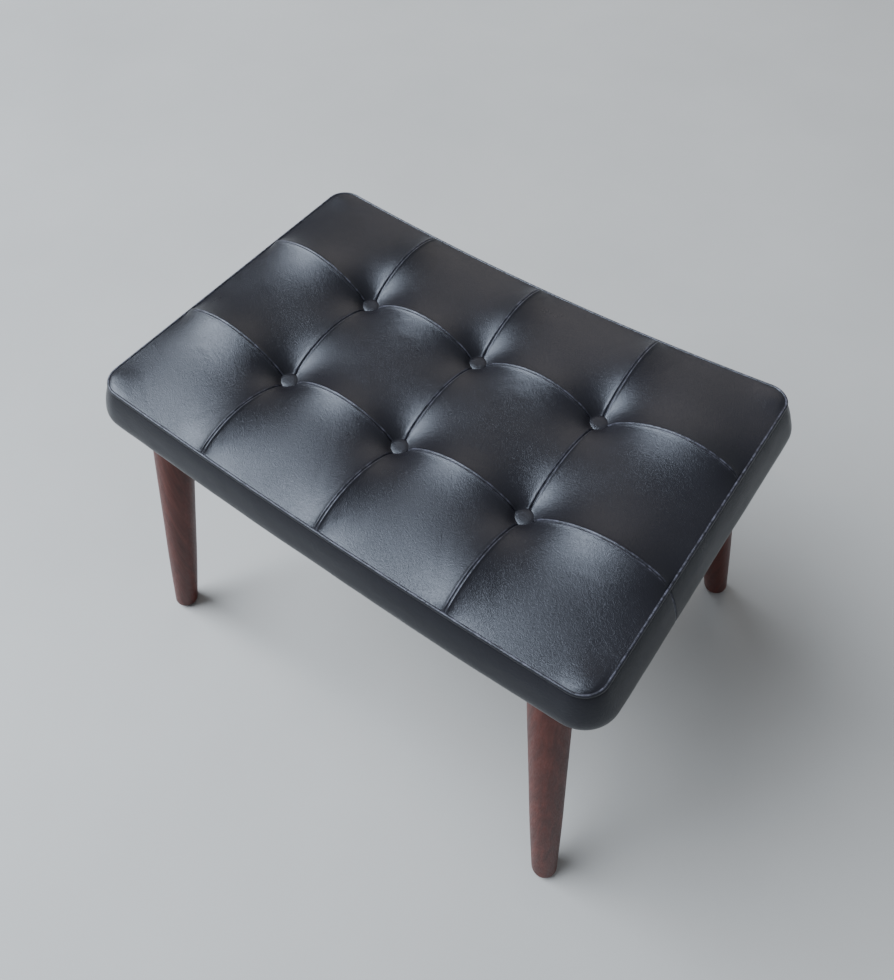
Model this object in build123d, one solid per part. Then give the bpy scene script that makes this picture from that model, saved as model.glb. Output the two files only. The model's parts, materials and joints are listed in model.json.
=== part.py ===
from build123d import *
import math
import os

# Upholstered footstool: a shallow cradle-shaped seat, button-tufted, on four splayed turned legs.
# Millimetres.  X runs along the seat, Y across it, Z up.  Origin: middle of the stool on the floor.
# The seat is bent to one arc along X.  A "level" is a height above the arc of the top seam, measured
# square to the arc: the cushion's crown is above level 0, the border, frame and underside below it.

# ---- seat, outside ----
seat_length = 555.0         # over the border at its widest line
seat_width = 377.0
corner_radius = 35.0        # border corner seen from above, at the widest line
seam_height = 396.0         # top seam above the floor, at the middle of the seat
seat_rise = 13.7            # how much higher the seam is at the two ends
seam_inset = 13.5           # top seam, in from the widest line
crown = 20.0                # top of the cushion above the seam
shoulder_reach = 20.0       # the cushion slopes off over this width, inside the seam
shoulder_drop = 14.0
widest_level = -33.0
seat_depth = 46.0           # seam to underside
under_roll = 11.0           # radius where the border turns under the seat

# ---- cover ----
skin = 1.2                  # coated cloth
welt_width = 2.8
lining_thickness = 0.8
wrap_margin = 44.0          # how far the border reaches in under the seat, from the widest line
wrap_corner = 12.0
lining_inset = 6.0          # lining edge, in from the frame's side

# ---- frame ----
deck_level = -20.0          # top of the deck board
deck_thickness = 5.0
frame_length = 516.0
frame_width = 334.0
frame_radius = 14.0
rail_width = 45.0
dowel_diameter = 8.0
dowel_length = 44.0
dowel_insets = (10.0, 28.0)     # dowels of a rail joint, in from the frame's end
dowel_lift = 3.5                # above the rails' mid height, clear of the block screws
block_leg = 48.0                # straight sides of a corner block
block_gap = 1.0                 # corner block shy of the rails' top and bottom
screw_length = 48.0
screw_diameter = 4.0
screw_point = 6.0
screw_offset = 14.0             # screw line, from the inside corner that the block fills
screw_above_bottom = 6.0
screw_sunk = 2.0                # head below the block's slanted face
nail_length = 20.0
nail_diameter = 1.8
nail_head = 4.4
nail_head_thickness = 0.8

# ---- buttons ----
button_pitch = 133.3        # columns along X
row_pitch = 123.5           # rows across Y
button_diameter = 17.5
button_height = 5.5
button_rim = 1.9            # height of the rolled rim
button_wall = 1.9           # rim to the recess for the back disc
rim_tuck = 0.25             # dome edge, in from the rim
recess_depth = 1.2
disc_slack = 0.1
well_floor = -9.5           # where the button rests
well_floor_radius = 10.0
well_mouth_radius = 27.0
twine_hole = 6.0
eye_radius = 2.4
eye_wire = 1.1
eye_drop = 4.3              # bottom wire of the eye, below the button's rim
twine_diameter = 1.4
twine_bend = 1.55
knot_diameter = 5.2
knot_below = 2.4            # knot centre, below the washer
washer_thickness = 2.0
washer_diameter = 22.0

# ---- legs ----
foot_x = 281.6              # centre of each leg on the floor
foot_y = 211.6
splay_x = 0.1754            # lean per millimetre of height
splay_y = 0.1731
leg_profile = ((0.0, 13.8), (110.0, 16.5), (205.0, 17.9), (260.0, 18.8), (400.0, 20.4))  # along axis, radius
leg_spare = 20.0            # turned past the floor, then cut off flat
foot_rounding = 7.5
bolt_diameter = 8.0
bolt_in_leg = 38.0
bolt_in_seat = 18.5
bolt_chamfer = 0.8
insert_diameter = 13.0
insert_start = 4.0          # threaded insert in the rail, from the underside
insert_end = 18.0
thread_clearance = 0.05
passage_clearance = 0.5

# ---- staples that hold the lining ----
staple_width = 10.0
staple_wire = 0.7
staple_depth = 7.0
staple_pitch = 31.0
staple_line_x = 247.0       # rows of staples, from the middle
staple_line_y = 156.0
staple_leg_clear = 27.0     # none closer to a leg

# ---- worked out from those ----
half_seam = seat_length / 2 - seam_inset
arc_radius = (half_seam**2 + seat_rise**2) / (2 * seat_rise)
arc_centre_z = seam_height + arc_radius
rail_top = deck_level - deck_thickness
lining_face = -seat_depth
wrap_face = lining_face + lining_thickness
rail_bottom = wrap_face + skin
inner_x = frame_length / 2 - rail_width
inner_y = frame_width / 2 - rail_width
big = 400.0                 # taller than anything that is cut with it
upward = (Align.CENTER, Align.CENTER, Align.MIN)
downward = (Align.CENTER, Align.CENTER, Align.MAX)
corners = {"front_left": (-1, -1), "front_right": (1, -1), "back_left": (-1, 1), "back_right": (1, 1)}
button_spots = [(i * button_pitch, j * row_pitch / 2) for j in (-1, 1) for i in (-1, 0, 1)]


# ---- the bent seat ----
def above(level):
    """A round bar along Y that holds everything above this level of the arc."""
    return Pos(0, 0, arc_centre_z) * Rot(90, 0, 0) * Cylinder(arc_radius - level, 2 * seat_width)


def prism(length, width, radius):
    """A tall upright block with rounded corners, around the seat."""
    plan = RectangleRounded(length, width, radius) if radius else Rectangle(length, width)
    return extrude(Pos(0, 0, seam_height - big / 2) * plan, big)


def layer(block, top, bottom):
    """The part of an upright block between two levels."""
    return (block & above(bottom)) - above(top)


def on_arc(x, y, level):
    """A place on the bent seat.  Its Z is square to the arc."""
    lean = math.asin(x / arc_radius)
    radius = arc_radius - level
    spot = Pos(radius * math.sin(lean), y, arc_centre_z - radius * math.cos(lean))
    return spot * Rot(0, -math.degrees(lean), 0)


def curved_faces(solid):
    """A layer's lower and upper face."""
    return solid.faces().filter_by(GeomType.CYLINDER).sort_by(SortBy.AREA)[-2:].sort_by(Axis.Z)


def seat_form(inset, bottom):
    """The seat below the seam: its sides spread to the widest line, then roll under."""
    block = prism(seat_length - 2 * inset, seat_width - 2 * inset, corner_radius - inset)
    slab = layer(block, 0, bottom)
    top = curved_faces(slab)[1]
    spread = chamfer(top.edges(), seam_inset, -widest_level, reference=top)
    return fillet(curved_faces(spread)[0].edges(), under_roll - inset)


def crown_form(inset, top_level):
    """The cushion above the seam, with sloping shoulders."""
    reach = 2 * (seam_inset + inset)
    block = prism(seat_length - reach, seat_width - reach, corner_radius - seam_inset - inset)
    slab = layer(block, top_level, 0)
    top = curved_faces(slab)[1]
    return chamfer(top.edges(), shoulder_reach - inset, shoulder_drop, reference=top)


def welt_form():
    """The narrow raised seam round the top, as a square ring."""
    outer = seam_inset - welt_width / 2
    inner = seam_inset + welt_width / 2
    ring = prism(seat_length - 2 * outer, seat_width - 2 * outer, corner_radius - outer)
    ring -= prism(seat_length - 2 * inner, seat_width - 2 * inner, corner_radius - inner)
    return layer(ring, welt_width / 2, -welt_width / 2)


def wells(extra):
    """The hollows that the buttons pull into the cushion, as cutters."""
    floor = well_floor - extra
    height = crown - floor
    mouth = well_mouth_radius + extra
    bowl = Cone(well_floor_radius + extra, mouth, height, align=upward)
    lid = Pos(0, 0, height) * Cylinder(mouth, shoulder_drop, align=upward)
    return [on_arc(x, y, floor) * (bowl + lid) for x, y in button_spots]


def button_holes(diameter, top, bottom):
    """Round holes at the buttons, between two levels, as cutters."""
    pin = Cylinder(diameter / 2, top - bottom, align=upward)
    return [on_arc(x, y, bottom) * pin for x, y in button_spots]


# ---- soft parts ----
def top_cover():
    """The tufted coated cloth over the cushion, with a cup at each button."""
    cover = crown_form(0, crown) - crown_form(skin, crown - skin) - wells(skin)
    holes = button_holes(twine_hole, 0, well_floor - 2 * skin)
    for outside, inside, hole in zip(wells(skin), wells(0), holes):
        cover += outside - inside - above(crown) - hole
    return cover - welt_form()


def foam_pad():
    """Foam between the cover and the deck board."""
    under = layer(prism(frame_length, frame_width, frame_radius), 0, deck_level)
    pad = crown_form(skin, crown - skin) + under
    pad -= wells(skin)
    pad -= button_holes(twine_hole, 0, deck_level - skin)
    return pad - welt_form()


def edge_padding():
    """Wadding between the frame and the border."""
    ring = seat_form(skin, rail_bottom) - prism(frame_length, frame_width, frame_radius)
    return ring - welt_form()


def border_band():
    """The strip of coated cloth round the sides, turned in under the frame."""
    shell = seat_form(0, wrap_face) - seat_form(skin, rail_bottom)
    inside = prism(seat_length - 2 * wrap_margin, seat_width - 2 * wrap_margin, wrap_corner)
    return shell - inside - welt_form() - fixings_below()


def bottom_lining():
    """Thin cloth that closes the underside."""
    plan = prism(frame_length - 2 * lining_inset, frame_width - 2 * lining_inset, wrap_corner)
    return layer(plan, wrap_face, lining_face) - fixings_below()


# ---- frame ----
def deck_board():
    board = layer(prism(frame_length, frame_width, frame_radius), deck_level, rail_top)
    return board - button_holes(twine_hole, 0, rail_top - skin) - deck_nails()


def rails():
    """Two long curved rails and two short ones between them."""
    ring = layer(prism(frame_length, frame_width, frame_radius) - prism(2 * inner_x, 2 * inner_y, 0),
                 rail_top, rail_bottom)
    found = {}
    for name, side in (("front_rail", -1), ("back_rail", 1)):
        long_side = Pos(0, side * (inner_y + big / 2), seam_height) * Box(2 * big, big, big)
        found[name] = ring & long_side
    for name, side in (("left_end_rail", -1), ("right_end_rail", 1)):
        short_side = Pos(side * big / 2, 0, seam_height) * Box(big, 2 * inner_y, big)
        found[name] = ring & short_side
    return found


def corner_block(sx, sy):
    """Glued triangle in an inside corner of the frame."""
    outline = Polyline((0, 0), (-sx * block_leg, 0), (0, -sy * block_leg), close=True)
    foot = Pos(sx * inner_x, sy * inner_y, seam_height - big / 2) * make_face(outline)
    block = extrude(foot, big, dir=(0, 0, 1))
    return layer(block, rail_top - block_gap, rail_bottom + block_gap)


def frame_dowels():
    """Two pins across each rail joint."""
    level = (rail_top + rail_bottom) / 2 + dowel_lift
    pin = Cylinder(dowel_diameter / 2, dowel_length, rotation=(90, 0, 0))
    pin = chamfer(pin.edges(), bolt_chamfer)
    made = []
    for sx, sy in corners.values():
        for inset in dowel_insets:
            made.append(on_arc(sx * (frame_length / 2 - inset), sy * inner_y, level) * pin)
    return made


def wood_screw():
    """Countersunk screw along +Z, its head at the origin."""
    radius = screw_diameter / 2
    shank_end = screw_length - screw_point
    shank = Cylinder(radius, shank_end, align=upward)
    point = Pos(0, 0, shank_end) * Cone(radius, radius / 5, screw_point, align=upward)
    head = Cone(2 * radius, radius, radius, align=upward)
    slot = Box(6 * radius, radius / 2, radius * 0.8)
    return shank + point + head - slot


def block_screws():
    """Each corner block has one screw into each rail."""
    level = rail_bottom + screw_above_bottom
    depth = block_leg - screw_offset - screw_sunk
    made = []
    for sx, sy in corners.values():
        to_long_rail = on_arc(sx * (inner_x - screw_offset), sy * (inner_y - depth), level)
        made.append(to_long_rail * Rot(-90 * sy, 0, 0) * wood_screw())
        to_end_rail = on_arc(sx * (inner_x - depth), sy * (inner_y - screw_offset), level)
        made.append(to_end_rail * Rot(0, 90 * sx, 0) * wood_screw())
    return made


def deck_nails():
    """Flat-headed nails through the deck board into the rails, heads level with the board."""
    shank = Cylinder(nail_diameter / 2, nail_length, align=downward)
    nail = shank + Cylinder(nail_head / 2, nail_head_thickness, align=downward)
    line_x = (frame_length - rail_width) / 2
    line_y = (frame_width - rail_width) / 2
    spots = [(i * line_x / 2.8, side * line_y) for side in (-1, 1) for i in (-2, -1, 0, 1, 2)]
    spots += [(side * line_x, j * line_y / 2.3) for side in (-1, 1) for j in (-1, 0, 1)]
    return [on_arc(x, y, deck_level) * nail for x, y in spots]


# ---- legs ----
def leg_place(sx, sy):
    """The foot of a leg, with Z along its axis."""
    axis = Vector(-sx * splay_x, -sy * splay_y, 1)
    return Plane(origin=(sx * foot_x, sy * foot_y, 0), x_dir=Vector(0, 1, 0).cross(axis), z_dir=axis).location


def leg_length():
    """Distance along a leg's axis from the floor to the underside of the seat."""
    step = Vector(-splay_x, -splay_y, 1).normalized()
    length = seam_height
    for _ in range(20):
        x = foot_x + step.X * length
        underside = arc_centre_z - math.sqrt((arc_radius + seat_depth)**2 - x**2)
        length = underside / step.Z
    return length


def rod(start, end, diameter):
    return Pos(0, 0, start) * Cylinder(diameter / 2, end - start, align=upward)


def leg_bolt(sx, sy):
    """Threaded stud that joins a leg to the seat."""
    stud = rod(leg_length() - bolt_in_leg, leg_length() + bolt_in_seat, bolt_diameter)
    return leg_place(sx, sy) * chamfer(stud.edges(), bolt_chamfer)


def leg(sx, sy):
    """Turned leg, cut off flat at the floor and to the seat's curve at the top."""
    start_radius = leg_profile[0][1]
    side = [(radius, along) for along, radius in leg_profile]
    top_radius, top = side[-1]
    curve = Spline([(start_radius - 0.5, -leg_spare)] + side)
    rest = Polyline((top_radius, top), (0, top), (0, -leg_spare), (start_radius - 0.5, -leg_spare))
    turned = leg_place(sx, sy) * revolve(make_face(Plane.XZ * (curve + rest)), Axis.Z)
    below_floor = Pos(0, 0, -big / 2) * Box(2 * big, 2 * big, big)
    turned = turned - below_floor - above(lining_face)
    turned = fillet(turned.faces().sort_by(Axis.Z)[0].edges(), foot_rounding)
    hole = rod(leg_length() - bolt_in_leg, leg_length() + bolt_in_seat, bolt_diameter)
    return turned - leg_place(sx, sy) * hole


def insert_outside(sx, sy):
    return leg_place(sx, sy) * rod(leg_length() + insert_start, leg_length() + insert_end, insert_diameter)


def leg_insert(sx, sy):
    """Threaded sleeve in the frame that takes a leg's stud."""
    bore = rod(leg_length(), leg_length() + insert_end + insert_start, bolt_diameter + 2 * thread_clearance)
    return insert_outside(sx, sy) - leg_place(sx, sy) * bore


def leg_passages():
    """Clear ways for the studs, as cutters."""
    clear = bolt_diameter + 2 * passage_clearance
    way = rod(leg_length() - insert_start, leg_length() + bolt_in_seat + passage_clearance, clear)
    return [leg_place(sx, sy) * way for sx, sy in corners.values()]


def insert_seats():
    return [insert_outside(sx, sy) for sx, sy in corners.values()]


def leg_tops():
    """Where the legs meet the underside."""
    tops = [leg_place(sx, sy) * Pos(0, 0, leg_length()) for sx, sy in corners.values()]
    return [(top.position.X, top.position.Y) for top in tops]


# ---- staples ----
def lining_staples():
    """Rows of wire staples round the lining's edge, driven upwards, with none under the legs."""
    bar = Pos(0, 0, -staple_wire / 2) * Box(staple_width, staple_wire, staple_wire)
    prong = Box(staple_wire, staple_wire, staple_depth, align=upward)
    reach = (staple_width - staple_wire) / 2
    staple = bar + Pos(-reach, 0, -staple_wire / 2) * prong + Pos(reach, 0, -staple_wire / 2) * prong
    spots = []
    for side in (-1, 1):
        spots += [(along, side * staple_line_y, 0) for along in staple_row(staple_line_x)]
        spots += [(side * staple_line_x, along, 90) for along in staple_row(staple_line_y)]
    tops = leg_tops()
    return [on_arc(x, y, lining_face) * Rot(0, 0, turn) * staple for x, y, turn in spots
            if all(math.hypot(x - a, y - b) > staple_leg_clear for a, b in tops)]


def staple_row(half_length):
    count = int((2 * half_length - staple_pitch) / staple_pitch)
    return [(i - count / 2) * staple_pitch for i in range(count + 1)]


def fixings_below():
    return lining_staples() + leg_passages()


# ---- buttons ----
def button_cap():
    """Domed cap covered in the seat's cloth, with a recess below for its back."""
    radius = button_diameter / 2
    recess = radius - button_wall
    edge = radius - rim_tuck
    dome_height = button_height - button_rim
    dome_radius = (edge**2 + dome_height**2) / (2 * dome_height)
    half_turn = math.asin(edge / dome_radius) / 2
    shoulder = (dome_radius * math.sin(half_turn), button_height - dome_radius * (1 - math.cos(half_turn)))
    under = Polyline((0, button_height), (0, recess_depth), (recess, recess_depth), (recess, 0), (radius - 1, 0))
    rim = ThreePointArc((radius - 1, 0), (radius, button_rim / 2), (edge, button_rim))
    dome = ThreePointArc((edge, button_rim), shoulder, (0, button_height))
    return revolve(make_face(Plane.XZ * (under + rim + dome)), Axis.Z)


def button_back():
    """Steel disc with the wire eye that the twine runs through."""
    radius = button_diameter / 2 - button_wall - disc_slack
    disc = Cylinder(radius, recess_depth - disc_slack, align=upward)
    ring = Pos(0, 0, eye_radius - eye_drop) * Rot(90, 0, 0) * Torus(eye_radius, eye_wire / 2)
    return disc + ring


def button_twine():
    """A loop of twine through the eye, both ends down through the board to a knot."""
    end = rail_top - washer_thickness - well_floor
    pull = -eye_drop
    bend = Pos(0, 0, pull) * Rot(0, 90, 0) * Torus(twine_bend, twine_diameter / 2)
    bend &= Pos(0, 0, pull + big / 2) * Box(big, big, big)
    strand = Cylinder(twine_diameter / 2, pull - end + knot_below, align=downward)
    knot = Pos(0, 0, end - knot_below - passage_clearance) * Sphere(knot_diameter / 2)
    return bend + Pos(0, twine_bend, pull) * strand + Pos(0, -twine_bend, pull) * strand + knot


def button_washer():
    """Fibre washer that the knot pulls against, under the deck board."""
    disc = Cylinder(washer_diameter / 2, washer_thickness, align=downward)
    return disc - Cylinder(twine_hole / 2, 4 * washer_thickness)


# ---- write the parts ----
def save(name, shape):
    """One STEP file, holding every solid of the shape or of the list of shapes."""
    shapes = shape if isinstance(shape, list) else [shape]
    solids = [solid for each in shapes for solid in each.solids()]
    export_step(Compound(label=name, children=solids), f"parts/{name}.step")


os.makedirs("parts", exist_ok=True)
save("top_cover", top_cover())
save("foam_pad", foam_pad())
save("edge_padding", edge_padding())
save("border_band", border_band())
save("seam_welt", welt_form())
save("bottom_lining", bottom_lining())
save("lining_staples", lining_staples())
save("deck_board", deck_board())
save("deck_nails", deck_nails())
save("frame_dowels", frame_dowels())
save("block_screws", block_screws())
rail_cutters = frame_dowels() + block_screws() + deck_nails() + insert_seats() + fixings_below()
for rail_name, rail in rails().items():
    save(rail_name, rail - rail_cutters)
for corner_name, (x_side, y_side) in corners.items():
    save(f"corner_block_{corner_name}", corner_block(x_side, y_side) - block_screws())
    save(f"leg_{corner_name}", leg(x_side, y_side))
    save(f"leg_bolt_{corner_name}", leg_bolt(x_side, y_side))
    save(f"leg_insert_{corner_name}", leg_insert(x_side, y_side))
for number, (spot_x, spot_y) in enumerate(button_spots, start=1):
    seat_of_button = on_arc(spot_x, spot_y, well_floor)
    save(f"button_cap_{number}", seat_of_button * button_cap())
    save(f"button_back_{number}", seat_of_button * button_back())
    save(f"button_twine_{number}", seat_of_button * button_twine())
    save(f"button_washer_{number}", on_arc(spot_x, spot_y, rail_top) * button_washer())
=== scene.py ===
import bpy
import json
import math
import numpy as np
from mathutils import Matrix, Quaternion, Vector, noise


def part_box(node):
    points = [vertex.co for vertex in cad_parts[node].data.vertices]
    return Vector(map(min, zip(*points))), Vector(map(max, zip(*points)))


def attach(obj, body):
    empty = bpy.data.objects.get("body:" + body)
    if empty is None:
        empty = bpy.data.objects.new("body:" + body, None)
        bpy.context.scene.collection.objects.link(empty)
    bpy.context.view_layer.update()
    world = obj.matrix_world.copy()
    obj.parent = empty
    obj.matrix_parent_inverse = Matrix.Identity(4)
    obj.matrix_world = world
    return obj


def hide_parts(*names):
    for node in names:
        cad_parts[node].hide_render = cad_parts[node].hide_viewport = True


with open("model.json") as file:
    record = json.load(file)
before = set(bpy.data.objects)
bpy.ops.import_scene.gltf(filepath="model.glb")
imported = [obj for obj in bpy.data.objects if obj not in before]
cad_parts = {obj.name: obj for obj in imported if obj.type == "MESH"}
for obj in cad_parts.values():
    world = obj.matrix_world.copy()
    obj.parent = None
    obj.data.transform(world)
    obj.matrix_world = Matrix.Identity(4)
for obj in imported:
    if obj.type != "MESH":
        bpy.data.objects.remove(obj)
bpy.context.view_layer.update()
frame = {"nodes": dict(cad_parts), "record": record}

print("frame loaded")

# ---- measures shared by the soft parts, in metres
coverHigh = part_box("top_cover")[1]
seat = {
    "rise": 0.0137,           # seam higher at the ends than in the middle
    "seamHeight": 0.396,
    "corner": 0.0195,         # seam corner seen from above
    "buttonPitch": 0.1333,
    "rowPitch": 0.1235,
}
halfLength, halfWidth = coverHigh[0], coverHigh[1]
arcRadius = (halfLength ** 2 + seat["rise"] ** 2) / (2 * seat["rise"])
arcMiddle = seat["seamHeight"] + arcRadius
columns = [i * seat["buttonPitch"] for i in (-1, 0, 1)]
rows = [j * seat["rowPitch"] / 2 for j in (-1, 1)]
buttonSpots = [(x, y) for y in rows for x in columns]


def onArc(x, y, level):
    # the seat is bent along X; level is the height above the seam's arc, square to it
    lean = np.arcsin(x / arcRadius)
    r = arcRadius - level
    return np.stack([r * np.sin(lean), y + 0 * x, arcMiddle - r * np.cos(lean)], axis=-1)


def spotFrame(x, y, level):
    lean = math.asin(x / arcRadius)
    place = Vector(onArc(np.float64(x), np.float64(y), level))
    return Matrix.Translation(place) @ Matrix.Rotation(-lean, 4, "Y")


def newObject(name, points, faces, smooth=True):
    mesh = bpy.data.meshes.new(name)
    mesh.from_pydata([tuple(p) for p in points], [], [tuple(f) for f in faces])
    mesh.validate()
    mesh.update()
    thing = bpy.data.objects.new(name, mesh)
    bpy.context.scene.collection.objects.link(thing)
    if smooth:
        mesh.shade_smooth()
    return thing


def pickOnly(thing):
    bpy.ops.object.select_all(action="DESELECT")
    thing.select_set(True)
    bpy.context.view_layer.objects.active = thing


def faceOutward(thing):
    pickOnly(thing)
    bpy.ops.object.mode_set(mode="EDIT")
    bpy.ops.mesh.select_all(action="SELECT")
    bpy.ops.mesh.normals_make_consistent(inside=False)
    bpy.ops.object.mode_set(mode="OBJECT")


def gridFaces(across, along, closed=False):
    # points run along first; closed joins the last station to the first
    faces = []
    for i in range(across if closed else across - 1):
        k = (i + 1) % across
        for j in range(along - 1):
            faces.append((i * along + j, k * along + j, k * along + j + 1, i * along + j + 1))
    return faces


# ---- materials
def nodesOf(name):
    mat = bpy.data.materials.new(name)
    mat.use_nodes = True
    tree = mat.node_tree
    shader = tree.nodes["Principled BSDF"]
    where = tree.nodes.new("ShaderNodeTexCoord")
    return mat, tree, shader, where.outputs["Object"]


def mapped(tree, vector, scale=(1, 1, 1), turn=(0, 0, 0)):
    node = tree.nodes.new("ShaderNodeMapping")
    node.inputs["Scale"].default_value = scale
    node.inputs["Rotation"].default_value = turn
    tree.links.new(vector, node.inputs["Vector"])
    return node.outputs["Vector"]


def noiseAt(tree, vector, scale, detail=3.0, rough=0.5, distort=0.0):
    node = tree.nodes.new("ShaderNodeTexNoise")
    node.inputs["Scale"].default_value = scale
    node.inputs["Detail"].default_value = detail
    node.inputs["Roughness"].default_value = rough
    node.inputs["Distortion"].default_value = distort
    tree.links.new(vector, node.inputs["Vector"])
    return node.outputs["Fac"]


def cellsAt(tree, vector, scale, feature="DISTANCE_TO_EDGE"):
    node = tree.nodes.new("ShaderNodeTexVoronoi")
    node.feature = feature
    node.inputs["Scale"].default_value = scale
    tree.links.new(vector, node.inputs["Vector"])
    return node.outputs["Distance"]


def rangeOf(tree, value, fromLow, fromHigh, toLow, toHigh):
    node = tree.nodes.new("ShaderNodeMapRange")
    limits = {"From Min": fromLow, "From Max": fromHigh, "To Min": toLow, "To Max": toHigh}
    for socket, number in limits.items():
        node.inputs[socket].default_value = number
    tree.links.new(value, node.inputs["Value"])
    return node.outputs["Result"]


def rampOf(tree, value, stops):
    node = tree.nodes.new("ShaderNodeValToRGB")
    ramp = node.color_ramp
    while len(ramp.elements) < len(stops):
        ramp.elements.new(0.5)
    for element, (place, colour) in zip(ramp.elements, stops):
        element.position = place
        element.color = (*colour, 1)
    tree.links.new(value, node.inputs["Fac"])
    return node.outputs["Color"]


def bumpOf(tree, height, strength, distance, before=None):
    node = tree.nodes.new("ShaderNodeBump")
    node.inputs["Strength"].default_value = strength
    node.inputs["Distance"].default_value = distance
    tree.links.new(height, node.inputs["Height"])
    if before is not None:
        tree.links.new(before, node.inputs["Normal"])
    return node.outputs["Normal"]


def wearAndHighlightAt(tree, where, colour):
    # the cloth's colour, paler where the mesh's own value says so: painted highlight along the pleats and on
    # the edge seam's crest, and rubbed wear at the border's join
    wearAndHighlight = tree.nodes.new("ShaderNodeAttribute")
    wearAndHighlight.attribute_name = "wearAndHighlight"
    broken = rangeOf(tree, noiseAt(tree, where, 170.0, 4.0, 0.7), 0.44, 0.62, 0.10, 1.0)
    amount = tree.nodes.new("ShaderNodeMath")
    amount.operation = "MULTIPLY"
    tree.links.new(wearAndHighlight.outputs["Fac"], amount.inputs[0])
    tree.links.new(broken, amount.inputs[1])
    mix = tree.nodes.new("ShaderNodeMix")
    mix.data_type = "RGBA"
    factor = next(i for i in mix.inputs if i.name == "Factor" and i.type == "VALUE")
    base, paleWearAndHighlight = [i for i in mix.inputs if i.type == "RGBA"]
    tree.links.new(amount.outputs["Value"], factor)
    tree.links.new(colour, base)
    # pale bluish tint: painted highlight on the pleats and the seam crest, and wear only at the border join
    paleWearAndHighlight.default_value = (0.150, 0.152, 0.205, 1)
    return next(o for o in mix.outputs if o.type == "RGBA")


def setWearAndHighlight(thing, values):
    # values may cover only the first points; the rest get no pale wear and no painted highlight
    full = np.zeros(len(thing.data.vertices))
    full[:len(values)] = values
    thing.data.attributes.new("wearAndHighlight", "FLOAT", "POINT").data.foreach_set("value", full)


def blackLeatherette(name="blackLeatherette", shift=0.0, gloss=0.55):
    mat, tree, shader, where = nodesOf(name)
    warped = mapped(tree, where, (1, 1, 1.3), (0, 0, 0.4 + shift))
    patches = noiseAt(tree, warped, 9.0, 4.0, 0.55)
    colour = rampOf(tree, patches, [(0.3, (0.0058, 0.0054, 0.0078)), (0.7, (0.0092, 0.0086, 0.0118))])
    # base colour, paled by painted highlight along the seams and by wear at the border join
    tree.links.new(wearAndHighlightAt(tree, where, colour), shader.inputs["Base Color"])
    worn = noiseAt(tree, warped, 26.0, 6.0, 0.65)
    tree.links.new(rangeOf(tree, worn, 0.3, 0.7, 0.27, 0.37), shader.inputs["Roughness"])
    shader.inputs["Specular IOR Level"].default_value = gloss
    shader.inputs["Specular Tint"].default_value = (0.80, 0.87, 1.0, 1)
    creased = noiseAt(tree, mapped(tree, where, (1, 1.7, 1), (0, 0, 0.6 + shift)), 300.0, 5.0, 0.66, 1.6)
    pebble = cellsAt(tree, mapped(tree, where, (1, 1.25, 1), (0.3, 0.2, shift)), 780.0)
    normal = bumpOf(tree, creased, 0.50, 0.0006)
    normal = bumpOf(tree, pebble, 0.42, 0.00034, normal)
    tree.links.new(normal, shader.inputs["Normal"])
    return mat


def legWood():
    mat, tree, shader, where = nodesOf("darkLegWood")
    along = mapped(tree, where, (1, 1, 0.045))
    bands = noiseAt(tree, along, 160.0, 5.0, 0.6, 0.6)
    colour = rampOf(tree, bands, [(0.25, (0.040, 0.0090, 0.0070)), (0.55, (0.080, 0.0170, 0.0125)),
                                  (0.8, (0.125, 0.0300, 0.0210))])
    tree.links.new(colour, shader.inputs["Base Color"])
    pores = noiseAt(tree, mapped(tree, where, (1, 1, 0.03)), 900.0, 2.0, 0.7)
    tree.links.new(rangeOf(tree, pores, 0.3, 0.7, 0.36, 0.5), shader.inputs["Roughness"])
    normal = bumpOf(tree, pores, 0.25, 0.0003)
    tree.links.new(normal, shader.inputs["Normal"])
    shader.inputs["Specular IOR Level"].default_value = 0.28
    shader.inputs["Specular Tint"].default_value = (1.0, 0.84, 0.80, 1)
    return mat


def plainWood(name, dark, light, scale=60.0):
    mat, tree, shader, where = nodesOf(name)
    bands = noiseAt(tree, mapped(tree, where, (0.06, 1, 1)), scale, 4.0, 0.55, 0.4)
    tree.links.new(rampOf(tree, bands, [(0.3, dark), (0.7, light)]), shader.inputs["Base Color"])
    shader.inputs["Roughness"].default_value = 0.62
    tree.links.new(bumpOf(tree, bands, 0.2, 0.0004), shader.inputs["Normal"])
    return mat


def softStuff(name, dark, light, scale, depth, roughness=0.9, sheen=0.2, gloss=0.5):
    mat, tree, shader, where = nodesOf(name)
    fibres = noiseAt(tree, where, scale, 5.0, 0.7)
    tree.links.new(rampOf(tree, fibres, [(0.3, dark), (0.7, light)]), shader.inputs["Base Color"])
    shader.inputs["Roughness"].default_value = roughness
    shader.inputs["Sheen Weight"].default_value = sheen
    shader.inputs["Specular IOR Level"].default_value = gloss
    tree.links.new(bumpOf(tree, fibres, 0.5, depth), shader.inputs["Normal"])
    return mat


def platedSteel():
    mat, tree, shader, where = nodesOf("zincPlatedSteel")
    shader.inputs["Metallic"].default_value = 1.0
    spangle = noiseAt(tree, where, 340.0, 4.0, 0.6)
    colour = rampOf(tree, spangle, [(0.3, (0.42, 0.43, 0.45)), (0.7, (0.6, 0.61, 0.63))])
    tree.links.new(colour, shader.inputs["Base Color"])
    tree.links.new(rangeOf(tree, spangle, 0.3, 0.7, 0.25, 0.42), shader.inputs["Roughness"])
    return mat


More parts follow.
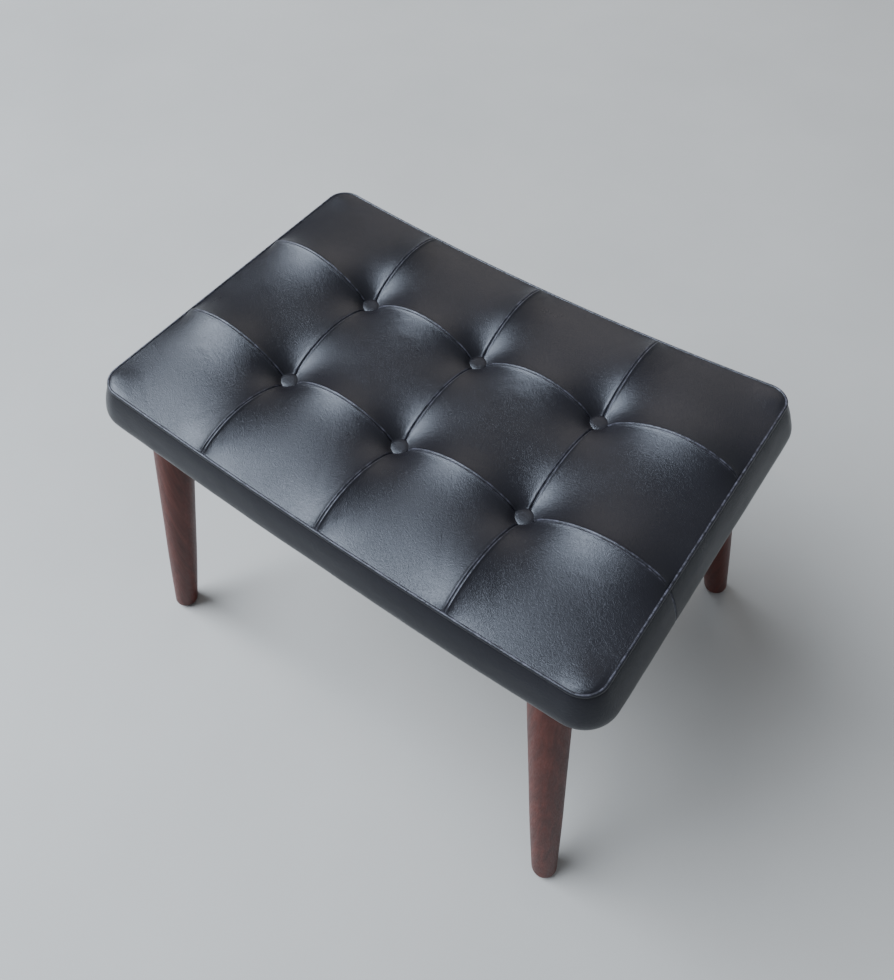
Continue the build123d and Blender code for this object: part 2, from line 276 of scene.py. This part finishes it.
leatherette = blackLeatherette()
bandLeatherette = blackLeatherette("borderLeatherette", 1.1, 0.34)
finishes = {
    "black_leatherette": leatherette,
    "dark_leg_wood": legWood(),
    "beech": plainWood("planedBeech", (0.46, 0.27, 0.15), (0.62, 0.41, 0.25)),
    "birch_plywood": plainWood("birchPlywood", (0.55, 0.39, 0.23), (0.72, 0.56, 0.37), 40.0),
    "seat_foam": softStuff("seatFoam", (0.55, 0.45, 0.26), (0.74, 0.66, 0.44), 700.0, 0.0006),
    "cotton_wadding": softStuff("cottonWadding", (0.62, 0.6, 0.54), (0.8, 0.78, 0.72), 260.0, 0.001),
    "lining_cloth": softStuff("liningCloth", (0.008, 0.008, 0.009), (0.018, 0.018, 0.019), 900.0, 0.0003,
                              roughness=1.0, sheen=0.0, gloss=0.1),
    "waxed_twine": softStuff("waxedTwine", (0.42, 0.33, 0.21), (0.6, 0.5, 0.36), 1200.0, 0.0003, 0.6),
    "fibre_washer": softStuff("fibreWasher", (0.2, 0.09, 0.06), (0.33, 0.17, 0.11), 500.0, 0.0002, 0.7),
    "zinc_plated_steel": platedSteel(),
}
print("finishes made")

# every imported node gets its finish
for part in frame["record"]["subparts"]:
    node = frame["nodes"][part["node"]]
    finish = finishes[part["material_slot"]]
    node.data.materials.clear()
    node.data.materials.append(finish)
print("frame nodes dressed")

# ---- tufted top cover: a sheet held at the edge seam, pleats and buttons, filled out by cloth pressure
cushion = {
    "cell": 0.0044,
    "wellLevel": -0.0085,       # cover under a button
    "wellRadius": 0.0088,
    "edgeLevel": 0.0004,
    "endArch": 0.0265,          # height that a pleat gains between its ends
    "middleArch": 0.0260,
    "sideArch": 0.0185,
    "crossArch": 0.0175,
    "archPower": 0.66,
    "rimMargin": 0.0006,        # held this far past the well's rim
    "pressure": 4.0,
    "stretch": 15.0,
    "bending": 0.5,
    "mass": 0.3,
    "quality": 6,
    "airDamping": 2.0,
    "frames": 24,
    "cap": 0.012,               # farthest that the filling moves a point
    "grooveDepth": 0.0010,
    "grooveHalf": 0.00062,
    "lip": 0.00042,             # swelling beside a seam
    "lipPlace": 0.0016,
    "lipHalf": 0.00075,
    "nubRise": 0.0021,          # swelling just inside each corner
    "nubPlace": 0.0125,
    "nubReach": 0.0150,
    "paintedHighlightPlace": 0.0010,        # painted highlight line beside a pleat
    "paintedHighlightHalf": 0.00038,
    "paintedHighlightMost": 0.55,
    "bottomLevel": -0.0195,
    "closeSteps": [0.0, 0.0004, 0.0008, 0.0012, 0.0017, 0.0024, 0.0038],
    "innerMargin": 0.0060,      # where the even lines of a bay begin
    "innerStep": 0.0031,
    "edgeFade": 0.004,          # grooves and swellings fade out towards the edge seam
    # the painted highlight lines fade near the edge seam, down to this share
    "paintedHighlightFade": 0.01,
    "paintedHighlightLeast": 0.3,
    "skirt": [(0.0012, 0.0012), (0.0026, 0.0040), (0.0035, 0.0100), (0.0045, 0.0195)],  # inset, depth
}


def bayLines(edges):
    # evenly spaced lines in each bay, with one exactly on each pleat
    lines, bays = [], []
    for start, end in zip(edges[:-1], edges[1:]):
        count = round((end - start) / cushion["cell"])
        bays.append((len(lines), len(lines) + count))
        lines += [start + (end - start) * k / count for k in range(count)]
    return np.array(lines + [edges[-1]]), bays


def archLevel(u, gain, startLevel, endLevel):
    arch = np.sin(np.pi * np.clip(u, 0, 1)) ** cushion["archPower"]
    return startLevel + (endLevel - startLevel) * u + gain * arch


def pleatLevels(places, anchors, gains):
    # anchors: (place, level) pairs; a pleat arches between each two
    levels = np.full(places.shape, cushion["wellLevel"])
    for (a, levelA), (b, levelB), gain in zip(anchors[:-1:2], anchors[1::2], gains):
        inside = (places >= a - 1e-9) & (places <= b + 1e-9)
        levels[inside] = archLevel((places[inside] - a) / (b - a), gain, levelA, levelB)
    return levels


def roundCorners(x, y):
    # pulls the square corners of the sheet on to the seam's round corners
    r = seat["corner"]
    cx = np.clip((np.abs(x) - (halfLength - r)) / r, 0, 1)
    cy = np.clip((np.abs(y) - (halfWidth - r)) / r, 0, 1)
    nx = np.where(cx > 0, np.sign(x) * (halfLength - r + r * cx * np.sqrt(1 - cy ** 2 / 2)), x)
    ny = np.where(cy > 0, np.sign(y) * (halfWidth - r + r * cy * np.sqrt(1 - cx ** 2 / 2)), y)
    return nx, ny


xEdges = [-halfLength] + columns + [halfLength]
yEdges = [-halfWidth] + rows + [halfWidth]
xLines, xBays = bayLines(xEdges)
yLines, yBays = bayLines(yEdges)
well, rim, edge = cushion["wellLevel"], cushion["wellRadius"], cushion["edgeLevel"]


def heldLevels():
    held = np.zeros((len(xLines), len(yLines)), bool)
    level = np.zeros(held.shape)
    xAnchors = [(-halfLength, edge)]
    for x in columns:
        xAnchors += [(x - rim, well), (x + rim, well)]
    xAnchors.append((halfLength, edge))
    lengthwise = pleatLevels(xLines, xAnchors, [cushion["endArch"], cushion["middleArch"],
                                                cushion["middleArch"], cushion["endArch"]])
    yAnchors = [(-halfWidth, edge)]
    for y in rows:
        yAnchors += [(y - rim, well), (y + rim, well)]
    yAnchors.append((halfWidth, edge))
    crosswise = pleatLevels(yLines, yAnchors,
                            [cushion["sideArch"], cushion["crossArch"], cushion["sideArch"]])
    for start, _ in yBays[1:]:
        held[:, start] = True
        level[:, start] = lengthwise
    for start, _ in xBays[1:]:
        held[start, :] = True
        level[start, :] = crosswise
    for side in (0, -1):
        held[side, :] = held[:, side] = True
        level[side, :] = level[:, side] = edge
    for bx, by in buttonSpots:
        near = np.hypot(xLines[:, None] - bx, yLines[None, :] - by) < rim + cushion["rimMargin"]
        held |= near
        level[near] = well
    return held, level


def relax(held, level, rounds=1500):
    # soap-film surface through the held points
    level = level.copy()
    free = ~held
    for _ in range(rounds):
        mean = level.copy()
        mean[1:-1, 1:-1] = (level[2:, 1:-1] + level[:-2, 1:-1] + level[1:-1, 2:] + level[1:-1, :-2]) / 4
        level[free] = mean[free]
    return level


held, level = heldLevels()
level = relax(held, level)
sheetX, sheetY = np.meshgrid(xLines, yLines, indexing="ij")
roundX, roundY = roundCorners(sheetX, sheetY)
startPoints = onArc(roundX, roundY, level)
print("cover sheet laid out", held.shape)


def fillOut(points, held):
    # cloth with air pressure from below; the seams and the wells stay where they are sewn
    across, along = held.shape
    sheet = newObject("coverSheet", points.reshape(-1, 3), gridFaces(across, along))
    pins = sheet.vertex_groups.new(name="sewn")
    pins.add([int(k) for k in np.flatnonzero(held.ravel())], 1.0, "REPLACE")
    cloth = sheet.modifiers.new("Cloth", "CLOTH")
    setup = cloth.settings
    setup.vertex_group_mass = "sewn"
    setup.use_pressure = True
    setup.uniform_pressure_force = cushion["pressure"]
    setup.tension_stiffness = setup.compression_stiffness = cushion["stretch"]
    setup.shear_stiffness = cushion["stretch"]
    setup.bending_stiffness = cushion["bending"]
    setup.mass = cushion["mass"]
    setup.quality = cushion["quality"]
    setup.air_damping = cushion["airDamping"]
    setup.effector_weights.gravity = 0
    cloth.point_cache.frame_start = 1
    cloth.point_cache.frame_end = cushion["frames"]
    scene = bpy.context.scene
    for frameNumber in range(1, cushion["frames"] + 1):
        scene.frame_set(frameNumber)
    pickOnly(sheet)
    bpy.ops.object.modifier_apply(modifier="Cloth")
    filled = np.empty(len(sheet.data.vertices) * 3)
    sheet.data.vertices.foreach_get("co", filled)
    bpy.data.objects.remove(sheet)
    scene.frame_set(1)
    moved = filled.reshape(points.shape) - points
    reach = np.linalg.norm(moved, axis=-1, keepdims=True)
    moved *= np.minimum(1, cushion["cap"] / np.maximum(reach, 1e-9))
    print("cover filled out, most moved", round(float(reach.max()) * 1000, 1), "mm")
    return points + moved


sheetPoints = fillOut(startPoints, held)


def fineLines(edges, lines, bays):
    # close lines beside each pleat and the edge, wider ones between
    # the weights read the coarse sheet inside one bay
    steps, margin = cushion["closeSteps"], cushion["innerMargin"]
    places, weights, offsets = [], [], []
    for number, (start, end) in enumerate(bays):
        a, b = edges[number], edges[number + 1]
        inner = np.linspace(a + margin, b - margin, round((b - a) / cushion["innerStep"]))
        bay = [a + s for s in steps] + list(inner) + [b - s for s in reversed(steps)]
        if number < len(bays) - 1:
            bay = bay[:-1]
        for place in bay:
            t = (place - a) / (b - a) * (end - start)
            k = min(int(t), end - start - 1)
            f = t - k
            row = np.zeros(len(lines))
            taps = [k - 1, k, k + 1, k + 2]
            shape = [(-f + 2 * f * f - f ** 3) / 2, (2 - 5 * f * f + 3 * f ** 3) / 2,
                     (f + 4 * f * f - 3 * f ** 3) / 2, (-f * f + f ** 3) / 2]
            for tap, w in zip(taps, shape):
                if tap < 0:
                    row[start] += 2 * w
                    row[start + 1] -= w
                elif tap > end - start:
                    row[end] += 2 * w
                    row[end - 1] -= w
                else:
                    row[start + tap] += w
            places.append(place)
            weights.append(row)
            gap = min([abs(place - e) for e in edges[1:-1]])
            offsets.append(gap)
    return np.array(places), np.array(weights), np.array(offsets)


fineX, weightX, gapX = fineLines(xEdges, xLines, xBays)
fineY, weightY, gapY = fineLines(yEdges, yLines, yBays)
cover = np.einsum("ai,ijk,bj->abk", weightX, sheetPoints, weightY)


def normalsOf(grid):
    du = np.gradient(grid, axis=0)
    dv = np.gradient(grid, axis=1)
    n = np.cross(du, dv)
    return n / np.linalg.norm(n, axis=-1, keepdims=True)


def seamProfile(gap):
    groove = -cushion["grooveDepth"] * np.exp(-(gap / cushion["grooveHalf"]) ** 2)
    lip = cushion["lip"] * np.exp(-((gap - cushion["lipPlace"]) / cushion["lipHalf"]) ** 2)
    return groove + lip


normals = normalsOf(cover)
toEdge = np.minimum.outer(halfLength - np.abs(fineX), halfWidth - np.abs(fineY))
fade = np.clip(toEdge / cushion["edgeFade"], 0, 1)
push = np.minimum(seamProfile(gapX)[:, None], 0) + np.minimum(seamProfile(gapY)[None, :], 0)
push = np.maximum(push, -cushion["grooveDepth"]) + np.maximum(seamProfile(gapX)[:, None], 0)
push = push + np.maximum(seamProfile(gapY)[None, :], 0)
offX = (halfLength - np.abs(fineX))[:, None] - cushion["nubPlace"]
offY = (halfWidth - np.abs(fineY))[None, :] - cushion["nubPlace"]
nub = cushion["nubRise"] * np.exp(-(offX ** 2 + offY ** 2) / cushion["nubReach"] ** 2)
cover = cover + normals * ((push + nub) * fade)[..., None]


# a pale line just beside each pleat, on its lip: painted highlight
def paintedHighlightLine(gap):
    return cushion["paintedHighlightMost"] * np.exp(-((gap - cushion["paintedHighlightPlace"]) / cushion["paintedHighlightHalf"]) ** 2)


coverPaintedHighlight = np.maximum(paintedHighlightLine(gapX)[:, None], paintedHighlightLine(gapY)[None, :])
coverPaintedHighlight = coverPaintedHighlight * np.clip(toEdge / cushion["paintedHighlightFade"], cushion["paintedHighlightLeast"], 1)


def closedCover(grid):
    # the sheet, a skirt down inside the border and a flat base make one closed body
    across, along = grid.shape[:2]
    points = list(grid.reshape(-1, 3))
    faces = gridFaces(across, along)
    loop = [i * along for i in range(across)] + [(across - 1) * along + j for j in range(1, along)]
    loop += [i * along + along - 1 for i in range(across - 2, -1, -1)] + [j for j in range(along - 2, 0, -1)]
    previous = loop
    for inset, drop in cushion["skirt"]:
        ring = []
        for k in loop:
            x, y = points[k][0], points[k][1]
            inX, inY = x * (1 - inset / halfLength), y * (1 - inset / halfWidth)
            low = onArc(np.float64(inX), np.float64(inY), -drop)
            ring.append(len(points))
            points.append(low)
        for k in range(len(loop)):
            n = (k + 1) % len(loop)
            faces.append((previous[k], ring[k], ring[n], previous[n]))
        previous = ring
    middle = len(points)
    points.append(onArc(np.float64(0), np.float64(0), cushion["bottomLevel"]))
    for k in range(len(previous)):
        faces.append((previous[k], middle, previous[(k + 1) % len(previous)]))
    return points, faces


coverPoints, coverFaces = closedCover(cover)
topCover = newObject("tuftedTopCover", coverPoints, coverFaces)
faceOutward(topCover)
topCover.data.materials.append(leatherette)
# the pale pleat lines on the cover are painted highlight
setWearAndHighlight(topCover, coverPaintedHighlight.ravel())
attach(topCover, "root")
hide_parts("top_cover", "foam_pad")
print("top cover made", len(topCover.data.polygons), "faces")

# ---- border strip, swept round the seat
border = {
    "profile": [(-0.0026, -0.0045), (-0.0016, -0.0020), (0.0002, -0.0008), (0.0016, -0.0022),
                (0.0036, -0.0060), (0.0060, -0.0115), (0.0082, -0.0175), (0.0100, -0.0235),
                (0.0115, -0.0290), (0.0123, -0.0335),
                (0.0122, -0.0372), (0.0108, -0.0408), (0.0082, -0.0438), (0.0046, -0.0456), (0.0000, -0.0462),
                (-0.0080, -0.0464), (-0.0200, -0.0464), (-0.0315, -0.0464)],
    "step": 0.0036,
    "wave": 0.0005,
    "joinDepth": 0.0009,
    "joinHalf": 0.0008,
    "joinLean": 0.10,           # across, for each unit down
    "joinWear": 0.8,
    "joinPlace": rows[0] - 0.0022,
    "joinReach": 0.0075,        # even stations give way to close ones this near the join
    "joinStep": 0.0005,
    "joinSteps": 12,            # on each side
    "thickness": 0.0011,
    "facingOut": 0.99,          # outward part of a station on a straight end
    "rollLevel": -0.044,        # the strip turns under below this
}


def ringStations(step):
    # stations round the seam: a point and its outward direction, anticlockwise from the right end's middle
    r = seat["corner"]
    a, b = halfLength - r, halfWidth - r
    stations = []

    def straight(start, end, out):
        count = max(2, round(math.dist(start, end) / step))
        for k in range(count):
            t = k / count
            stations.append((start[0] + (end[0] - start[0]) * t, start[1] + (end[1] - start[1]) * t, *out))

    def corner(cx, cy, turn):
        count = 16
        for k in range(count):
            angle = turn + math.pi / 2 * k / count
            outX, outY = math.cos(angle), math.sin(angle)
            stations.append((cx + r * outX, cy + r * outY, outX, outY))

    straight((halfLength, -b), (halfLength, b), (1, 0))
    corner(a, b, 0)
    straight((a, halfWidth), (-a, halfWidth), (0, 1))
    corner(-a, b, math.pi / 2)
    straight((-halfLength, b), (-halfLength, -b), (-1, 0))
    corner(-a, -b, math.pi)
    straight((-a, -halfWidth), (a, -halfWidth), (0, -1))
    corner(a, -b, 3 * math.pi / 2)
    return np.array(stations)


def smoothProfile(points, rounds=1):
    # Chaikin corner cutting keeps the ends
    for _ in range(rounds):
        cut = [points[0]]
        for (ax, az), (bx, bz) in zip(points[:-1], points[1:]):
            cut += [(ax * near + bx * far, az * near + bz * far)
                    for near, far in ((0.75, 0.25), (0.25, 0.75))]
        points = cut + [points[-1]]
    return points


def sweep(stations, profile, wobble=None):
    points = []
    for x, y, outX, outY in stations:
        for out, down in profile:
            extra = wobble(x, y, outX, outY, out, down) if wobble else 0
            px, py = x + outX * (out + extra), y + outY * (out + extra)
            points.append(onArc(np.float64(px), np.float64(py), down))
    return points


def joinGap(y, down):
    return abs(y - rows[0] - border["joinLean"] * down)


def borderWobble(x, y, outX, outY, out, down):
    low = noise.noise(Vector((x * 14, y * 14, down * 30)))
    fine = noise.noise(Vector((x * 45 + 7, y * 45, down * 90)))
    weight = max(0.0, min(1.0, -down / 0.02)) * max(0.0, min(1.0, (out + 0.012) / 0.02))
    extra = border["wave"] * (low + 0.4 * fine) * weight
    if outX > border["facingOut"] and down > border["rollLevel"]:
        extra -= border["joinDepth"] * math.exp(-(joinGap(y, down) / border["joinHalf"]) ** 2)
    return extra


def addJoinStations(stations):
    # close stations where the strip is joined, on the right end
    extra = []
    for k in range(-border["joinSteps"], border["joinSteps"] + 1):
        extra.append((halfLength, border["joinPlace"] + k * border["joinStep"], 1.0, 0.0))

    def onEnd(station):
        return station[2] > border["facingOut"]

    def nearJoin(station):
        return onEnd(station) and abs(station[1] - border["joinPlace"]) < border["joinReach"]

    merged = [tuple(s) for s in stations if not nearJoin(s)] + extra
    merged.sort(key=lambda s: (0, s[1]) if onEnd(s) else (1, 0))
    return np.array(merged)


bandStations = addJoinStations(ringStations(border["step"]))
bandProfile = smoothProfile(border["profile"], 1)
bandPoints = sweep(bandStations, bandProfile, borderWobble)
bandFaces = gridFaces(len(bandStations), len(bandProfile), closed=True)
borderStrip = newObject("borderStrip", bandPoints, bandFaces)
thicken = borderStrip.modifiers.new("Solidify", "SOLIDIFY")
thicken.thickness = border["thickness"]
thicken.offset = -1
faceOutward(borderStrip)
bpy.ops.object.modifier_apply(modifier="Solidify")
borderStrip.data.materials.append(bandLeatherette)
onJoin = [[outX > border["facingOut"] and joinGap(y, down) < border["joinHalf"] for _, down in bandProfile]
          for _, y, outX, _ in bandStations]
setWearAndHighlight(borderStrip, border["joinWear"] * np.array(onJoin, float).ravel())
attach(borderStrip, "root")
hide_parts("border_band", "edge_padding")
print("border strip made", len(borderStrip.data.polygons), "faces")

# ---- raised edge seam
edgeSeam = {
    "profile": [(-0.0008, -0.0016), (-0.0007, -0.0002), (-0.0001, 0.0008), (0.0008, 0.0012), (0.0017, 0.0008),
                (0.0024, -0.0002), (0.0025, -0.0014), (0.0012, -0.0024)],
    # the pale values on the seam's crest paint a highlight there
    "wearAndHighlight": [0.0, 0.0, 0.2, 0.6, 0.1, 0.0, 0.0, 0.0],
    "step": 0.003,
}
seamStations = ringStations(edgeSeam["step"])
count = len(edgeSeam["profile"])
seamPoints = sweep(seamStations, edgeSeam["profile"])
seamFaces = []
for i in range(len(seamStations)):
    k = (i + 1) % len(seamStations)
    for j in range(count):
        n = (j + 1) % count
        seamFaces.append((i * count + j, k * count + j, k * count + n, i * count + n))
welt = newObject("edgeSeamWelt", seamPoints, seamFaces)
faceOutward(welt)
welt.data.materials.append(leatherette)
setWearAndHighlight(welt, edgeSeam["wearAndHighlight"] * len(seamStations))
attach(welt, "root")
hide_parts("seam_welt")
print("edge seam made")

# ---- covered buttons
button = {
    "radius": 0.0098,
    "rimHeight": 0.0020,
    "height": 0.0033,
    "level": -0.0096,
    "sides": 40,
    "footRatio": 0.86,          # radii as shares of the button's own
    "topRatio": 0.965,
    "rings": (0.88, 0.74, 0.56, 0.36, 0.16),
    "domePower": 4.5,
    "turn": 1.1,                # radians from one button to the next, so that their grain differs
}


def modelButton():
    bpy.ops.object.select_all(action="DESELECT")
    bpy.ops.mesh.primitive_cylinder_add(
        vertices=button["sides"], radius=button["radius"] * button["footRatio"], depth=button["rimHeight"],
        end_fill_type="NGON", location=(0, 0, button["rimHeight"] / 2))
    thing = bpy.context.active_object
    bpy.ops.object.transform_apply(location=True, rotation=True, scale=True)
    mesh = thing.data

    def pickFaces(test):
        bpy.ops.object.mode_set(mode="EDIT")
        bpy.ops.mesh.select_mode(type="FACE")
        bpy.ops.mesh.select_all(action="DESELECT")
        bpy.ops.object.mode_set(mode="OBJECT")
        for face in mesh.polygons:
            face.select = test(face)
        bpy.ops.object.mode_set(mode="EDIT")

    # the side swells out to the rim
    pickFaces(lambda f: abs(f.normal.z) < 0.5)
    bpy.ops.mesh.subdivide(number_cuts=1)
    bpy.ops.object.mode_set(mode="OBJECT")
    for v in mesh.vertices:
        if abs(v.co.z - button["rimHeight"] / 2) < 1e-5:
            v.co.x *= 1 / button["footRatio"]
            v.co.y *= 1 / button["footRatio"]
        elif v.co.z > button["rimHeight"] * 0.9:
            v.co.x *= button["topRatio"] / button["footRatio"]
            v.co.y *= button["topRatio"] / button["footRatio"]
    # rings step up to the domed top
    domeRise = button["height"] - button["rimHeight"]
    previousRadius, previousHeight = button["topRatio"], 0.0
    for ratio in button["rings"]:
        pickFaces(lambda f: f.normal.z > 0.9 and len(f.vertices) > 8 and f.center.z > 0.001)
        rise = domeRise * (1 - (ratio / button["topRatio"]) ** button["domePower"])
        bpy.ops.mesh.inset(thickness=(previousRadius - ratio) * button["radius"], depth=0)
        bpy.ops.transform.translate(value=(0, 0, rise - previousHeight))
        bpy.ops.object.mode_set(mode="OBJECT")
        previousRadius, previousHeight = ratio, rise
    smooth = thing.modifiers.new("Subdivision", "SUBSURF")
    smooth.levels = smooth.render_levels = 1
    pickOnly(thing)
    bpy.ops.object.modifier_apply(modifier="Subdivision")
    mesh.shade_smooth()
    return thing


firstButton = modelButton()
for number, (bx, by) in enumerate(buttonSpots, start=1):
    mesh = firstButton.data.copy()
    piece = bpy.data.objects.new(f"coveredButton{number}", mesh)
    bpy.context.scene.collection.objects.link(piece)
    mesh.transform(spotFrame(bx, by, button["level"]) @ Matrix.Rotation(number * button["turn"], 4, "Z"))
    mesh.materials.clear()
    mesh.materials.append(leatherette)
    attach(piece, "root")
    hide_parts(f"button_cap_{number}")
bpy.data.objects.remove(firstButton)
print("buttons made")

# ---- floor, light and camera
studio = {
    "floorDark": (0.375, 0.380, 0.382),
    "floorLight": (0.420, 0.424, 0.425),
    "aim": (0.0, 0.0, 0.35),
    "windowHeading": 208.0,       # degrees from +X, seen from above
    "windowElevation": 50.0,
    "windowDistance": 6.0,
    "windowWidth": 5.0,
    "windowHeight": 4.8,
    "windowPower": 960.0,
    "windowColour": (0.88, 0.94, 1.0),
    "fillPlace": (-0.9, 2.6, 2.0),
    "fillSize": 2.0,
    "fillPower": 12.0,
    "fillColour": (1.0, 0.88, 0.76),
    "skyColour": (0.90, 0.93, 0.97),
    "skyStrength": 0.33,
}


def makeFloor():
    bpy.ops.object.select_all(action="DESELECT")
    bpy.ops.mesh.primitive_plane_add(size=14, location=(0, 0, 0))
    floor = bpy.context.active_object
    floor.name = "studioFloor"
    mat, tree, shader, where = nodesOf("paintedFloor")
    patches = noiseAt(tree, where, 1.6, 5.0, 0.6)
    colour = rampOf(tree, patches, [(0.3, studio["floorDark"]), (0.7, studio["floorLight"])])
    tree.links.new(colour, shader.inputs["Base Color"])
    shader.inputs["Roughness"].default_value = 0.55
    floor.data.materials.append(mat)


def areaLight(name, place, width, height, power, colour):
    data = bpy.data.lights.new(name, "AREA")
    data.shape = "RECTANGLE"
    data.size, data.size_y = width, height
    data.energy = power
    data.color = colour
    lamp = bpy.data.objects.new(name, data)
    lamp.location = place
    lamp.rotation_euler = (Vector(studio["aim"]) - Vector(place)).to_track_quat("-Z", "Y").to_euler()
    bpy.context.scene.collection.objects.link(lamp)


def windowPlace():
    heading, elevation = math.radians(studio["windowHeading"]), math.radians(studio["windowElevation"])
    toward = Vector((math.cos(heading) * math.cos(elevation), math.sin(heading) * math.cos(elevation),
                     math.sin(elevation)))
    return Vector(studio["aim"]) + toward * studio["windowDistance"]


makeFloor()
areaLight("windowLight", windowPlace(), studio["windowWidth"], studio["windowHeight"],
          studio["windowPower"], studio["windowColour"])
areaLight("fillLight", studio["fillPlace"], studio["fillSize"], studio["fillSize"],
          studio["fillPower"], studio["fillColour"])
world = bpy.data.worlds.new("studioWorld")
world.use_nodes = True
world.node_tree.nodes["Background"].inputs["Color"].default_value = (*studio["skyColour"], 1)
world.node_tree.nodes["Background"].inputs["Strength"].default_value = studio["skyStrength"]
bpy.context.scene.world = world

viewpoint = {
    "target": (0.0728, -0.0879, 0.4123),
    "azimuth": 38.4,
    "elevation": 56.0,
    "distance": 0.675,
    "roll": -2.72,
    "lens": 29.78,
}


def makeCamera():
    a, e = math.radians(viewpoint["azimuth"]), math.radians(viewpoint["elevation"])
    back = Vector((math.sin(a) * math.cos(e), -math.cos(a) * math.cos(e), math.sin(e)))
    data = bpy.data.cameras.new("viewCamera")
    data.lens = viewpoint["lens"]
    data.sensor_width = 36
    camera = bpy.data.objects.new("viewCamera", data)
    camera.location = Vector(viewpoint["target"]) + back * viewpoint["distance"]
    camera.rotation_mode = "QUATERNION"
    roll = Quaternion((0, 0, 1), math.radians(viewpoint["roll"]))
    camera.rotation_quaternion = (-back).to_track_quat("-Z", "Y") @ roll
    bpy.context.scene.collection.objects.link(camera)
    bpy.context.scene.camera = camera


makeCamera()
print("stage made")

bpy.context.view_layer.update()
